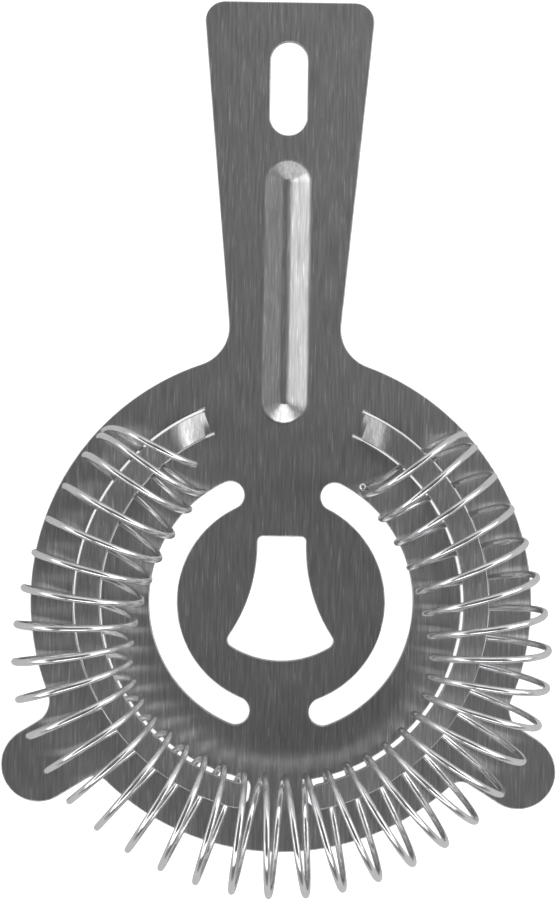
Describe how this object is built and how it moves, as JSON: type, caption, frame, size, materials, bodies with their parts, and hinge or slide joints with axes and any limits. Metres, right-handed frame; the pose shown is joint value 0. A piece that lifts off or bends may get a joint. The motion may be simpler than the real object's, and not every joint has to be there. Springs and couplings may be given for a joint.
{
  "type": "hawthorne strainer",
  "caption": "One-piece stainless hawthorne cocktail strainer: perforated disc with ears and a tapered hanging handle, with a coil spring threaded on two raised tongues.",
  "frame": {"origin": "middle of the bottom face of the object's box, in the plane of the plate's flat back", "axes": "+Y along the handle towards its hanging end, +Z out of the plate towards the spring side, +X to the right"},
  "size_m": [0.0942, 0.1498, 0.0218],
  "materials": {
    "brushed_plate": "brushed lengthwise",
    "spring_wire": "bright drawn wire"
  },
  "bodies": {
    "plate": {"strainer_plate": "brushed_plate"},
    "spring": {"coil_spring": "spring_wire"}
  },
  "joints": [
    {"name": "spring_give", "type": "slide", "parent": "plate", "child": "spring", "axis": [0, 1, 0], "range_m": [0, 0.0025], "stiffness_N_per_m": 400}
  ]
}
